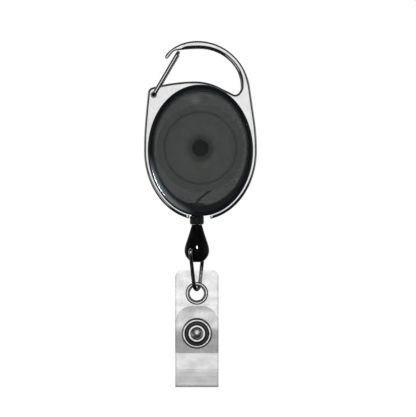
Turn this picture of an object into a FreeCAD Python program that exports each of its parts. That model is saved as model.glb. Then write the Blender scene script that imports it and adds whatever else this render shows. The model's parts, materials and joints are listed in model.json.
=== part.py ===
import FreeCAD, Part
import Sketcher
import math
import os

# A retractable badge reel on a carabiner frame, hanging as it is worn.  Millimetres, +Z up,
# front towards -Y.  The origin is the point inside the top of the hook that bears on a belt loop.

os.makedirs("parts", exist_ok=True)

V = FreeCAD.Vector
doc = FreeCAD.newDocument("badge_reel")
sheet = doc.addObject("Spreadsheet::Sheet", "Sizes")

DRIVING = {
    # carabiner frame
    "frame_half": 1.6, "frame_a": 17.2, "frame_b": 21.1, "frame_edge": 0.5,
    "aperture_a": 14.6, "aperture_b": 18.5, "mouth_x": -0.25, "mouth_wide": 6.3, "mouth_tall": 11.1,
    # reel axis and housing, whose ovals share one centre a little below the axis
    "reel_z": -30.2, "oval_z": -30.9, "shell_a": 15.95, "shell_b": 19.9, "shell_half": 5.5,
    "shell_wall": 1.3, "shell_round": 1.5, "skirt_a": 14.5, "skirt_b": 18.4,
    "cavity_a": 13.7, "cavity_b": 17.3, "parting": 0.02, "seat_radius": 10.75, "seat_deep": 0.35,
    "boss_radius": 4.2, "boss_face": 2.85, "joined": 1.0,
    "saddle_gap": 0.05, "saddle_set": 0.15, "saddle_deep": 5.0,
    # spool, cord and mainspring
    "arbor_radius": 2.5, "arbor_half": 4.2, "arbor_edge": 0.3, "running_gap": 0.06,
    "flange_radius": 13.2, "flange_thick": 0.9,
    "pack_half": 1.8, "drum_outer": 8.9, "drum_wall": 0.9, "pack_radius": 11.3,
    "pack_edge": 0.4, "cord_radius": 0.4, "winding_gap": 0.12, "cord_turn": 2.0, "cord_gap": 0.05,
    "spring_thick": 0.14, "spring_pitch": 0.56, "spring_half": 1.65, "spring_gap": 0.04,
    # cord outlet and the line of everything that hangs below it
    "hang_x": -1.1, "bush_bottom": -53.4, "bush_top": -46.8, "bush_bore": 0.62, "bush_shank": 1.7,
    "bush_collar": 2.15, "bush_flange": 2.5, "bush_edge": 0.35, "bush_lift": 0.85, "bush_flare": 0.5,
    "outlet_tall": 8.0, "cord_entry": 0.6, "cord_seam": 2.0, "knot_z": -58.0, "knot_radius": 1.05,
    # gate
    "pivot_x": -14.2, "pivot_z": -14.0, "gate_wire_radius": 0.62, "gate_lean": 59.6,
    "gate_reach": 14.75, "gate_leg_y": 2.35, "gate_bend": 0.95, "gate_split": 0.08,
    "pivot_gap": 0.06,
    # drop and link
    "drop_top": -53.5, "drop_bottom": -64.8, "drop_radius": 3.85, "drop_wide_z": -61.2,
    "link_bar_z": -60.9, "link_hole": 0.74, "link_wire_radius": 0.57, "link_side": 4.85,
    "link_bend": 0.9, "link_foot": 2.2, "link_bottom_z": -73.15, "link_turn": 25.0,
    # strap
    "ply_thick": 0.5, "strap_wide": 13.2, "strap_top": -67.3, "strap_corner": 2.0,
    "foot_corner": 1.4, "ply_end": -92.6, "eyelet_z": -74.3, "eyelet_hole": 2.1, "eyelet_barrel": 2.5,
    "eyelet_rim": 3.45, "snap_z": -86.5, "snap_rim": 4.65, "snap_shank": 1.3,
    "fold_radius": 3.3, "fold_z": -99.65, "fold_lean": 30.0, "tail_y": 2.8,
    "tail_bend": 5.0, "tail_end": -78.3, "tail_corner": 5.2, "tail_hole": 0.8,
}
for row, (alias, size) in enumerate(DRIVING.items(), start=1):
    sheet.set(f"A{row}", alias)
    sheet.set(f"B{row}", str(size))
    sheet.setAlias(f"B{row}", alias)
doc.recompute()

NEAR = 0.01  # how closely an edge has to match a limit to be picked


def size(alias):
    return float(getattr(sheet, alias))


def bind(thing, **expressions):
    """Bind properties of a document object to expressions, whose words are aliases or numbers."""
    for name, expression in expressions.items():
        words = ["Sizes." + word if word in DRIVING else word for word in expression.split()]
        thing.setExpression(name.replace("__", "."), " ".join(words))
    return thing


def origin_plane(body, role):
    return [feature for feature in body.Origin.OriginFeatures if feature.Role == role][0]


def sketch_on(body, name, role="XZ_Plane"):
    sketch = body.newObject("Sketcher::SketchObject", name)
    sketch.AttachmentSupport = [(origin_plane(body, role), "")]
    sketch.MapMode = "FlatFace"
    return sketch


def fuse(label, *things):
    result = doc.addObject("Part::MultiFuse", label)
    result.Shapes = list(things)
    return result


def cut(label, base, *tools):
    """Part::Cut, of one tool or of several fused first."""
    result = doc.addObject("Part::Cut", label)
    result.Base = base
    result.Tool = tools[0] if len(tools) == 1 else fuse(label + "_tools", *tools)
    return result


def common(label, one, other):
    result = doc.addObject("Part::Common", label)
    result.Base = one
    result.Tool = other
    return result


def cylinder(name, radius, length, x="0", y="0", z="0", along="y"):
    """A Part::Cylinder that starts at x, y, z and runs towards +Y or +Z."""
    tube = doc.addObject("Part::Cylinder", name)
    if along == "y":
        tube.Placement.Rotation = FreeCAD.Rotation(V(1, 0, 0), -90)
    return bind(tube, Radius=radius, Height=length, Placement__Base__x=x, Placement__Base__y=y,
                Placement__Base__z=z)


def box(name, wide, deep, tall, x, y, z):
    block = doc.addObject("Part::Box", name)
    return bind(block, Length=wide, Width=deep, Height=tall, Placement__Base__x=x,
                Placement__Base__y=y, Placement__Base__z=z)


def oval_prism(name, half_wide, half_tall, start, length):
    """An upright oval about the housing's centre, extruded towards +Y."""
    oval = doc.addObject("Part::Ellipse", name + "_oval")
    oval.Placement.Rotation = FreeCAD.Rotation(V(0, 0, 1), V(1, 0, 0), V(0, 1, 0), "XYZ")
    bind(oval, MajorRadius=half_tall, MinorRadius=half_wide, Placement__Base__y=start,
         Placement__Base__z="oval_z")
    prism = doc.addObject("Part::Extrusion", name)
    prism.Base = oval
    prism.DirMode = "Custom"
    prism.Dir = V(0, 1, 0)
    prism.Solid = True
    return bind(prism, LengthFwd=length)


def turned(label, outline, x, y, z, along="y"):
    """A body turned about an axis through x, y, z: outline is (radius, height) expressions."""
    body = doc.addObject("PartDesign::Body", label)
    sketch = sketch_on(body, label + "_profile", "XZ_Plane")
    corners = [V(2 + math.cos(i), i, 0) for i in range(len(outline))]
    for i, corner in enumerate(corners):
        sketch.addGeometry(Part.LineSegment(corner, corners[(i + 1) % len(corners)]))
    for i in range(len(outline)):
        sketch.addConstraint(Sketcher.Constraint("Coincident", i, 2, (i + 1) % len(outline), 1))
    for i, (radius, height) in enumerate(outline):
        for kind, expression in (("DistanceX", radius), ("DistanceY", height)):
            number = sketch.addConstraint(Sketcher.Constraint(kind, -1, 1, i, 1, 1.0))
            sketch.renameConstraint(number, f"{kind}{i}")
            bind(sketch, **{f"Constraints__{kind}{i}": expression})
    spin = body.newObject("PartDesign::Revolution", label + "_turn")
    spin.Profile = sketch
    spin.ReferenceAxis = (sketch, ["V_Axis"])
    spin.Angle = 360
    if along == "y":
        body.Placement.Rotation = FreeCAD.Rotation(V(1, 0, 0), -90)
    return bind(body, Placement__Base__x=x, Placement__Base__y=y, Placement__Base__z=z)


def arc_by_centre(centre, radius, start, stop):
    """An arc in the plane z = 0, angles in degrees, turning either way."""
    angles = (start, (start + stop) / 2, stop)
    return Part.Arc(*[centre + radius * direction(angle) for angle in angles])


def direction(angle):
    return V(math.cos(math.radians(angle)), math.sin(math.radians(angle)), 0)


def biarc(start, start_heading, stop, stop_heading):
    """Two tangent arcs from start to stop with the given headings in degrees."""
    leave = direction(start_heading)
    arrive = direction(stop_heading)
    chord = stop - start
    both = leave + arrive
    slack = 2 * (1 - leave.dot(arrive))
    along = chord.dot(both)
    reach = (-along + math.sqrt(along ** 2 + slack * chord.dot(chord))) / slack
    join = (start + leave * reach + stop - arrive * reach) / 2
    return [through(start, leave, join), through(join, join - stop + arrive * reach, stop)]


def through(start, heading, stop):
    """The arc that leaves start along heading and ends at stop."""
    heading = heading / heading.Length
    chord = stop - start
    side = V(-heading.y, heading.x, 0)
    radius = chord.dot(chord) / (2 * chord.dot(side))
    centre = start + side * radius
    middle = (start + stop) / 2 - centre
    middle = middle / middle.Length * abs(radius)
    if middle.dot(start - centre) < 0 and chord.dot(heading) > 0:
        middle = -middle
    return Part.Arc(start, centre + middle, stop)


def rounded(corners, radii, closed=False):
    """Straight runs joined by tangent arcs; a corner of radius 0 stays sharp."""
    count = len(corners)
    arcs = []
    for i in range(count) if closed else range(1, count - 1):
        before = corners[i - 1] - corners[i]
        after = corners[(i + 1) % count] - corners[i]
        before = before / before.Length
        after = after / after.Length
        half = math.acos(before.dot(after)) / 2
        reach = radii[i] / math.tan(half)
        inward = (before + after) / (before + after).Length
        middle = corners[i] + inward * (radii[i] / math.sin(half) - radii[i])
        arcs.append((corners[i] + before * reach, middle, corners[i] + after * reach))
    stops = [arc[2] for arc in arcs]
    starts = [arc[0] for arc in arcs]
    runs = list(zip(stops[-1:] + stops[:-1], starts))
    if not closed:
        runs = list(zip([corners[0]] + stops, starts + [corners[-1]]))
    edges = []
    for i, run in enumerate(runs):
        edges.append(Part.LineSegment(*run))
        if i < len(arcs) and arcs[i][0] != arcs[i][2]:
            edges.append(Part.Arc(*arcs[i]))
    return edges


def swept_wire(label, path, radius, placement):
    """A round wire swept along a flat path whose first run leaves its start along +X."""
    body = doc.addObject("PartDesign::Body", label)
    spine = sketch_on(body, label + "_path", "XY_Plane")
    for edge in path:
        spine.addGeometry(edge)
    section = sketch_on(body, label + "_section", "YZ_Plane")
    start = path[0].StartPoint
    section.AttachmentOffset = FreeCAD.Placement(V(start.y, 0, start.x), FreeCAD.Rotation())
    section.addGeometry(Part.Circle(V(0, 0, 0), V(0, 0, 1), size(radius)))
    section.addConstraint(Sketcher.Constraint("Coincident", 0, 3, -1, 1))
    number = section.addConstraint(Sketcher.Constraint("Radius", 0, size(radius)))
    section.renameConstraint(number, "wire_radius")
    bind(section, Constraints__wire_radius=radius)
    pipe = body.newObject("PartDesign::AdditivePipe", label + "_pipe")
    pipe.Profile = section
    pipe.Spine = spine
    body.Placement = placement
    return body


def pad(body, sketch, length, midplane=False, reverse=False):
    feature = body.newObject("PartDesign::Pad", sketch.Label + "_pad")
    feature.Profile = sketch
    feature.Midplane = midplane
    feature.Reversed = reverse
    return bind(feature, Length=length)


def pocket(body, sketch):
    """A pocket right through the body, both ways from its sketch."""
    feature = body.newObject("PartDesign::Pocket", sketch.Label + "_pocket")
    feature.Profile = sketch
    feature.Type = "ThroughAll"
    feature.Midplane = True
    return feature


def circle_sketch(body, name, x, z, radius):
    sketch = sketch_on(body, name)
    sketch.addGeometry(Part.Circle(V(1, 1, 0), V(0, 0, 1), 1))
    rules = {"centre_x": ("DistanceX", -1, 1, 0, 3, 1.0), "centre_z": ("DistanceY", -1, 1, 0, 3, 1.0),
             "hole": ("Radius", 0, 1.0)}
    for (rule, values), expression in zip(rules.items(), (x, z, radius)):
        sketch.renameConstraint(sketch.addConstraint(Sketcher.Constraint(*values)), rule)
        bind(sketch, **{f"Constraints__{rule}": expression})
    return sketch


def rectangle_sketch(body, name, x, z, wide, tall):
    """A rectangle whose lower left corner is at x, z."""
    sketch = sketch_on(body, name)
    corners = [V(0, 0, 0), V(1, 0, 0), V(1, 1, 0), V(0, 1, 0)]
    for i, corner in enumerate(corners):
        sketch.addGeometry(Part.LineSegment(corner, corners[(i + 1) % 4]))
    for i in range(4):
        sketch.addConstraint(Sketcher.Constraint("Coincident", i, 2, (i + 1) % 4, 1))
        sketch.addConstraint(Sketcher.Constraint("Vertical" if i % 2 else "Horizontal", i))
    rules = {"left": (("DistanceX", -1, 1, 0, 1, 1.0), x), "foot": (("DistanceY", -1, 1, 0, 1, 1.0), z),
             "wide": (("DistanceX", 0, 1, 0, 2, 1.0), wide), "tall": (("DistanceY", 1, 1, 1, 2, 1.0), tall)}
    for rule, (values, expression) in rules.items():
        sketch.renameConstraint(sketch.addConstraint(Sketcher.Constraint(*values)), rule)
        bind(sketch, **{f"Constraints__{rule}": expression})
    return sketch


# ---- carabiner frame: the hook, the flat plate and the ring round the housing, one casting ----

def frame_outline():
    """The outline seen from the front: position and heading at each change of curve."""
    middle = size("oval_z")
    wide = size("frame_a")
    stations = [
        (V(wide, middle), 90), (V(15.1, -11.8), 98), (V(-1.0, 2.45), 180), (V(-9.6, -0.75), 222),
        (V(-10.75, -2.6), 265), (V(-9.75, -2.75), 50), (V(-8.3, -1.0), 42), (V(-5.6, -0.32), 8),
        (V(0, 0), -1), (V(10.25, -5.3), -54), (V(12.2, -11.7), -90), (V(9.9, -13.7), -210),
        (V(5.9, -11.7), -208), (V(-1.7, -9.85), -180), (V(-9.3, -10.5), -171),
        (V(-14.7, -11.7), -165), (V(-16.0, -13.3), -96), (V(-wide, middle), -90),
    ]
    edges = []
    for (start, leave), (stop, arrive) in zip(stations, stations[1:]):
        edges += biarc(start, leave, stop, arrive)
    return edges


def upright_oval(half_tall, half_wide):
    """An ellipse about the housing's centre, its long axis upright."""
    oval = Part.Ellipse(V(0, size("oval_z"), 0), size(half_tall), size(half_wide))
    oval.rotate(FreeCAD.Placement(V(0, size("oval_z"), 0), V(0, 0, 1), 90))
    return oval


def carabiner_frame():
    body = doc.addObject("PartDesign::Body", "carabiner_frame")
    upper = sketch_on(body, "frame_upper")
    edges = frame_outline()
    for edge in edges:
        upper.addGeometry(edge)
    ends = (edges[-1].EndPoint, edges[0].StartPoint)
    upper.addGeometry(Part.LineSegment(*ends))
    pad(body, upper, "2 * frame_half", midplane=True)
    lower = sketch_on(body, "frame_lower")
    lower.addGeometry(Part.ArcOfEllipse(upright_oval("frame_b", "frame_a"), math.pi / 2, 3 * math.pi / 2))
    lower.addGeometry(Part.LineSegment(*ends))
    pad(body, lower, "2 * frame_half", midplane=True)
    doc.recompute()
    aperture = sketch_on(body, "frame_aperture")
    aperture.addGeometry(upright_oval("aperture_b", "aperture_a"))
    pocket(body, aperture)
    pocket(body, rectangle_sketch(body, "frame_mouth", "mouth_x - mouth_wide / 2",
                                  "oval_z - frame_b - joined", "mouth_wide", "mouth_tall"))
    pocket(body, circle_sketch(body, "frame_pivot", "pivot_x", "pivot_z",
                               "gate_wire_radius + pivot_gap"))
    doc.recompute()
    rims = [f"Edge{i}" for i, edge in enumerate(body.Shape.Edges, start=1) if on_outer_rim(edge)]
    base = body.Tip
    softened = body.newObject("PartDesign::Fillet", "frame_softened")
    softened.Base = (base, rims)
    bind(softened, Radius="frame_edge")
    return body


def on_outer_rim(edge):
    """An edge of the outline on the front or back face, clear of the pockets."""
    limits = edge.BoundBox
    flat = limits.YLength < NEAR and abs(abs(limits.Center.y) - size("frame_half")) < NEAR
    middle = edge.CenterOfMass
    across = middle.x / size("aperture_a")
    up = (middle.z - size("oval_z")) / size("aperture_b")
    outside = math.hypot(across, up) > 1 + NEAR
    from_pivot = math.hypot(middle.x - size("pivot_x"), middle.z - size("pivot_z"))
    at_pivot = from_pivot < size("gate_wire_radius")
    return flat and outside and not at_pivot and not isinstance(edge.Curve, Part.Line)


# ---- housing: two shells that clamp the frame, the arbor between them, the cord outlet ----

def shell(label, side):
    """Half of the housing on one side (-1 front, +1 rear) of the parting plane."""
    def prism(part, half_wide, half_tall, near, far):
        start = near if side > 0 else f"-1 * ( {far} )"
        return oval_prism(f"{label}_{part}", half_wide, half_tall, start, f"{far} - ( {near} )")

    cap = prism("cap", "shell_a", "shell_b", "frame_half", "shell_half")
    doc.recompute()
    face_y = side * size("shell_half")
    crown = doc.addObject("Part::Fillet", label + "_crown")
    crown.Base = cap
    crown.Edges = [(i, size("shell_round"), size("shell_round"))
                   for i, edge in enumerate(cap.Shape.Edges, start=1)
                   if abs(edge.BoundBox.YMin - face_y) + abs(edge.BoundBox.YMax - face_y) < NEAR]
    skirt = prism("skirt", "skirt_a", "skirt_b", "parting", "shell_half - joined")
    saddle_y = "parting" if side > 0 else "-1 * frame_half"
    saddle_block = box(label + "_saddle_block", "mouth_wide - 2 * saddle_gap",
                       "frame_half - parting", "saddle_deep",
                       "mouth_x - mouth_wide / 2 + saddle_gap", saddle_y,
                       "oval_z - shell_b - joined")
    saddle = common(label + "_saddle", saddle_block,
                    prism("saddle_oval", "shell_a", "shell_b - saddle_set", "0",
                          "shell_half - 2 * joined"))
    solid = fuse(label + "_solid", crown, skirt, saddle)
    cavity = prism("cavity", "cavity_a", "cavity_b", "-1 * joined", "shell_half - shell_wall")
    hollow = cut(label + "_hollow", solid, cavity)
    boss_start = "boss_face" if side > 0 else "-1 * shell_half + joined"
    boss = cylinder(label + "_boss", "boss_radius", "shell_half - joined - boss_face",
                    y=boss_start, z="reel_z")
    bossed = fuse(label + "_bossed", hollow, boss)
    reach = "shell_half - shell_wall"
    arbor_seat = cylinder(label + "_arbor_seat", "arbor_radius", reach,
                          y="0" if side > 0 else f"-1 * ( {reach} )", z="reel_z")
    outlet = cylinder(label + "_outlet", "bush_shank", "outlet_tall", x="hang_x",
                      z="oval_z - shell_b - 2 * joined", along="z")
    seat_y = "shell_half - seat_deep" if side > 0 else "-1 * shell_half - joined"
    seat = cylinder(label + "_seat", "seat_radius", "joined + seat_deep", y=seat_y, z="reel_z")
    return cut(label, bossed, arbor_seat, outlet, seat)


def housing():
    slim = "arbor_radius - arbor_edge"
    shoulder = "oval_z - shell_b - parting"
    ledge = "oval_z - cavity_b + bush_lift"
    return [
        shell("front_shell", -1),
        shell("rear_shell", 1),
        turned("arbor", [
            ("0", "-1 * arbor_half"), (slim, "-1 * arbor_half"),
            ("arbor_radius", "-1 * arbor_half + arbor_edge"),
            ("arbor_radius", "arbor_half - arbor_edge"), (slim, "arbor_half"), ("0", "arbor_half"),
        ], "0", "0", "reel_z"),
        turned("outlet_bush", [
            ("bush_bore", "bush_bottom"), ("bush_collar - bush_edge", "bush_bottom"),
            ("bush_collar", "bush_bottom + bush_edge"), ("bush_collar", shoulder),
            ("bush_shank", shoulder), ("bush_shank", ledge), ("bush_flange", ledge),
            ("bush_flange", "bush_top"), ("bush_bore + bush_flare", "bush_top"),
            ("bush_bore", "bush_top - bush_flare"),
        ], "hang_x", "0", "0", along="z"),
    ]


def mainspring():
    """A flat strip wound from the arbor out to the drum, in half turns of growing radius."""
    strip = doc.addObject("Part::Feature", "mainspring")
    thick = size("spring_thick")
    pitch = size("spring_pitch")
    inner = size("arbor_radius") + size("spring_gap")
    outer = size("drum_outer") - size("drum_wall") - thick - 2 * size("spring_gap")
    half_turns = int(2 * (outer - inner) / pitch)
    edges = []
    for offset in (0, thick):
        wall = []
        for turn in range(half_turns):
            radius = inner + offset + turn * pitch / 2
            shift = 0 if turn % 2 == 0 else pitch / 2
            start = 0 if turn % 2 == 0 else 180
            wall.append(arc_by_centre(V(shift, 0, 0), radius, start, start + 180).toShape())
        edges.append(wall)
    ends = [[wall[0].Vertexes[0].Point, wall[-1].Vertexes[-1].Point] for wall in edges]
    edges[0].append(Part.makeLine(ends[0][1], ends[1][1]))
    edges[1].append(Part.makeLine(ends[0][0], ends[1][0]))
    outline = Part.Wire(Part.__sortEdges__(edges[0] + edges[1]))
    half = size("spring_half")
    strip.Shape = Part.Face(outline).extrude(V(0, 0, 2 * half))
    upright = FreeCAD.Rotation(V(1, 0, 0), -90)
    strip.Placement = FreeCAD.Placement(V(0, -half, size("reel_z")), upright)
    return strip


# ---- spool: flanged drum, its pressed-on cover and the wound cord ----

def spool():
    bore = "arbor_radius + running_gap"
    flange = "pack_half + flange_thick"
    inner = "drum_outer - drum_wall"
    return [
        turned("spool", [
            (bore, "pack_half"), (inner, "pack_half"), (inner, "-1 * pack_half"),
            ("drum_outer", "-1 * pack_half"), ("drum_outer", "pack_half"),
            ("flange_radius", "pack_half"), ("flange_radius", flange), (bore, flange),
        ], "0", "0", "reel_z"),
        turned("spool_cover", [
            (bore, f"-1 * ( {flange} )"), ("flange_radius", f"-1 * ( {flange} )"),
            ("flange_radius", "-1 * pack_half"), (bore, "-1 * pack_half"),
        ], "0", "0", "reel_z"),
        turned("cord_winding", [
            ("drum_outer", "-1 * pack_half"), ("pack_radius - pack_edge", "-1 * pack_half"),
            ("pack_radius", "-1 * pack_half + pack_edge"),
            ("pack_radius", "pack_half - pack_edge"),
            ("pack_radius - pack_edge", "pack_half"), ("drum_outer", "pack_half"),
        ], "0", "0", "reel_z"),
    ]


# ---- cord: the run from the winding to the outlet, the stretch to the drop, the knot ----

def cord():
    run = doc.addObject("Part::Feature", "cord_run")
    exit_x = size("hang_x")
    exit_z = size("bush_top") + size("cord_entry")
    level = size("reel_z") - exit_z
    tangent_radius = size("pack_radius") + size("cord_radius") + size("winding_gap")
    distance = math.hypot(exit_x, level)
    turn = math.acos(tangent_radius / distance) + math.atan2(-level, exit_x)
    leave = V(tangent_radius * math.cos(turn), 0, size("reel_z") + tangent_radius * math.sin(turn))
    seam = V(exit_x, size("bush_bottom") + size("cord_seam"), 0)
    corners = [V(leave.x, leave.z, 0), V(exit_x, exit_z, 0), seam]
    path = Part.Wire([edge.toShape() for edge in rounded(corners, [0, size("cord_turn"), 0])])
    heading = corners[1] - corners[0]
    profile = Part.Wire(Part.makeCircle(size("cord_radius"), corners[0], heading))
    run.Shape = path.makePipeShell([profile], True, False)
    run.Placement.Rotation = FreeCAD.Rotation(V(1, 0, 0), 90)
    return [
        run,
        cylinder("cord_end", "cord_radius", "bush_bottom + cord_seam - cord_gap - knot_z",
                 x="hang_x", z="knot_z", along="z"),
        turned("cord_knot", [
            ("cord_radius", "knot_z - 1.1"), ("knot_radius - 0.25", "knot_z - 1.1"),
            ("knot_radius", "knot_z - 0.7"), ("knot_radius", "knot_z + 0.2"),
            ("knot_radius - 0.3", "knot_z + 0.6"), ("cord_radius", "knot_z + 0.6"),
        ], "hang_x", "0", "0", along="z"),
    ]


# ---- wire gate ----

def gate():
    leg = size("gate_leg_y")
    reach = size("gate_reach")
    bend = size("gate_bend")
    split = size("gate_split")
    corners = [V(split, 0, 0), V(leg, 0, 0), V(leg, reach, 0), V(-leg, reach, 0), V(-leg, 0, 0),
               V(-split, 0, 0)]
    path = rounded(corners, [0, bend, bend, bend, bend, 0])
    lean = math.radians(size("gate_lean"))
    along = V(math.cos(lean), 0, math.sin(lean))
    turn = FreeCAD.Rotation(V(0, 1, 0), along, V(0, 1, 0).cross(along), "XYZ")
    place = FreeCAD.Placement(V(size("pivot_x"), 0, size("pivot_z")), turn)
    return swept_wire("gate_wire", path, "gate_wire_radius", place)


# ---- drop and link ----

def drop():
    """A teardrop moulding: cord bore from above, knot chamber from below, cross hole for the link."""
    drop_body = turned("drop_blank", [
        ("cord_radius + 0.15", "knot_z + 0.75"), ("cord_radius + 0.15", "drop_top"),
        ("1.35", "drop_top"), ("1.5", "drop_top - 0.2"), ("2.0", "drop_top - 1.6"),
        ("2.5", "drop_top - 3.1"), ("3.15", "drop_top - 4.9"), ("3.65", "drop_top - 6.5"),
        ("drop_radius", "drop_wide_z"), ("3.6", "drop_wide_z - 1.3"),
        ("3.05", "drop_wide_z - 2.2"), ("2.3", "drop_bottom + 0.6"), ("1.6", "drop_bottom"),
        ("1.2", "drop_bottom"), ("1.2", "knot_z + 0.75"),
    ], "hang_x", "0", "0", along="z")
    hole = cylinder("drop_cross_hole", "link_hole", "2 * drop_radius + 4",
                    x="hang_x - ( drop_radius + 2 ) * sin( link_turn )",
                    y="-1 * ( drop_radius + 2 ) * cos( link_turn )", z="link_bar_z")
    turn = FreeCAD.Rotation(V(0, 0, 1), -size("link_turn"))
    hole.Placement.Rotation = turn.multiply(hole.Placement.Rotation)
    return cut("cord_drop", drop_body, hole)


def link():
    """A stirrup of wire: straight through the drop, closing to a round foot in the eyelet."""
    side = size("link_side")
    foot = size("link_foot")
    fall = size("link_bar_z") - size("link_bottom_z")
    lean = math.atan2(side - foot, fall - foot)
    spread = foot * (1 - math.sin(lean)) / math.cos(lean)
    depth = V(spread, -fall, 0)
    corners = [V(0, 0, 0), V(side, 0, 0), depth, V(-spread, -fall, 0), V(-side, 0, 0), V(0, 0, 0)]
    path = rounded(corners, [0, size("link_bend"), foot, foot, size("link_bend"), 0])
    angle = math.radians(size("link_turn"))
    across = V(math.sin(angle), math.cos(angle), 0)
    turn = FreeCAD.Rotation(across, V(0, 0, 1), across.cross(V(0, 0, 1)), "XYZ")
    place = FreeCAD.Placement(V(size("hang_x"), 0, size("link_bar_z")), turn)
    return swept_wire("wire_link", path, "link_wire_radius", place)


# ---- strap: two plies at the front, a fold at the bottom, the tail behind with its snap ----

def ply_sketch(body, name, foot):
    """The front outline of a ply from the strap's top down to foot, its top corners rounded."""
    half = size("strap_wide") / 2
    left = size("hang_x") - half
    right = size("hang_x") + half
    top = size("strap_top")
    corner = size("strap_corner")
    foot_corner = size("foot_corner") if foot > size("fold_z") else 0
    corners = [V(left, foot, 0), V(left, top, 0), V(right, top, 0), V(right, foot, 0)]
    sketch = sketch_on(body, name)
    for edge in rounded(corners, [foot_corner, corner, corner, foot_corner], closed=True):
        sketch.addGeometry(edge)
    return sketch


def ply(label, foot, toward_rear):
    body = doc.addObject("PartDesign::Body", label)
    pad(body, ply_sketch(body, label + "_outline", foot), "ply_thick", reverse=toward_rear)
    for hole, z, radius in (("eyelet", "eyelet_z", "eyelet_barrel"), ("snap", "snap_z", "snap_shank")):
        pocket(body, circle_sketch(body, f"{label}_{hole}_hole", "hang_x", z, radius))
    return body


def fold():
    """The bottom of the badge loop: an arc from the main ply round to the leaning tail."""
    body = doc.addObject("PartDesign::Body", "strap_fold")
    sketch = sketch_on(body, "fold_section", "YZ_Plane")
    middle = size("ply_thick") / 2
    centre = V(middle + size("fold_radius"), size("fold_z"), 0)
    walls = [arc_by_centre(centre, size("fold_radius") + side * middle, 180, 360 + size("fold_lean"))
             for side in (-1, 1)]
    for wall in walls:
        sketch.addGeometry(wall)
    sketch.addGeometry(Part.LineSegment(walls[0].StartPoint, walls[1].StartPoint))
    sketch.addGeometry(Part.LineSegment(walls[0].EndPoint, walls[1].EndPoint))
    pad(body, sketch, "strap_wide", midplane=True)
    return bind(body, Placement__Base__x="hang_x")


def tail():
    """The strap's free end: leaning forward from the fold, then upright behind the snap."""
    body = doc.addObject("PartDesign::Body", "strap_tail")
    sketch = sketch_on(body, "tail_section", "YZ_Plane")
    middle = size("ply_thick") / 2
    lean = math.radians(size("fold_lean"))
    out = V(math.cos(lean), math.sin(lean), 0)
    foot = V(middle + size("fold_radius"), size("fold_z"), 0) + out * size("fold_radius")
    knee = V(size("tail_y"), foot.y + (foot.x - size("tail_y")) / math.tan(lean), 0)
    top = V(size("tail_y"), size("tail_end"), 0)
    mitre = (out + V(1, 0, 0)) / (1 + out.x)
    walls = [rounded([foot + out * step, knee + mitre * step, top + V(step, 0, 0)],
                     [0, size("tail_bend") - step, 0]) for step in (-middle, middle)]
    for edge in walls[0] + walls[1]:
        sketch.addGeometry(edge)
    sketch.addGeometry(Part.LineSegment(walls[0][0].StartPoint, walls[1][0].StartPoint))
    sketch.addGeometry(Part.LineSegment(walls[0][-1].EndPoint, walls[1][-1].EndPoint))
    pad(body, sketch, "strap_wide", midplane=True)
    pocket(body, circle_sketch(body, "tail_snap_hole", "0", "snap_z", "tail_hole"))
    doc.recompute()
    base = body.Tip
    corners = [f"Edge{i}" for i, edge in enumerate(base.Shape.Edges, start=1)
               if edge.BoundBox.ZMin > size("tail_end") - 0.01 and edge.BoundBox.XLength < 0.01]
    rounding = body.newObject("PartDesign::Fillet", "tail_corners")
    rounding.Base = (base, corners)
    bind(rounding, Radius="tail_corner")
    return bind(body, Placement__Base__x="hang_x")


def eyelet():
    front = "-1 * ply_thick"
    rear = "ply_thick + 0.22"
    return [
        turned("eyelet", [
            ("eyelet_barrel", front), ("eyelet_rim - 0.15", front), ("eyelet_rim", f"{front} - 0.2"),
            ("eyelet_rim - 0.15", f"{front} - 0.4"), ("eyelet_rim - 0.5", f"{front} - 0.5"),
            ("eyelet_hole + 0.5", f"{front} - 0.42"), ("eyelet_hole + 0.2", f"{front} - 0.2"),
            ("eyelet_hole", f"{front} + 0.15"), ("eyelet_hole", "ply_thick - 0.15"),
            ("eyelet_hole + 0.2", "ply_thick + 0.2"), ("eyelet_hole + 0.5", "ply_thick + 0.42"),
            ("eyelet_barrel + 0.3", "ply_thick + 0.48"), ("eyelet_barrel + 0.5", "ply_thick + 0.38"),
            ("eyelet_barrel + 0.4", rear), ("eyelet_barrel", rear),
        ], "hang_x", "0", "eyelet_z"),
        turned("eyelet_washer", [
            ("eyelet_barrel", "ply_thick"), ("eyelet_rim + 0.15", "ply_thick"),
            ("eyelet_rim + 0.25", "ply_thick + 0.1"), ("eyelet_rim + 0.15", rear),
            ("eyelet_barrel", rear),
        ], "hang_x", "0", "eyelet_z"),
    ]


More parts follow.
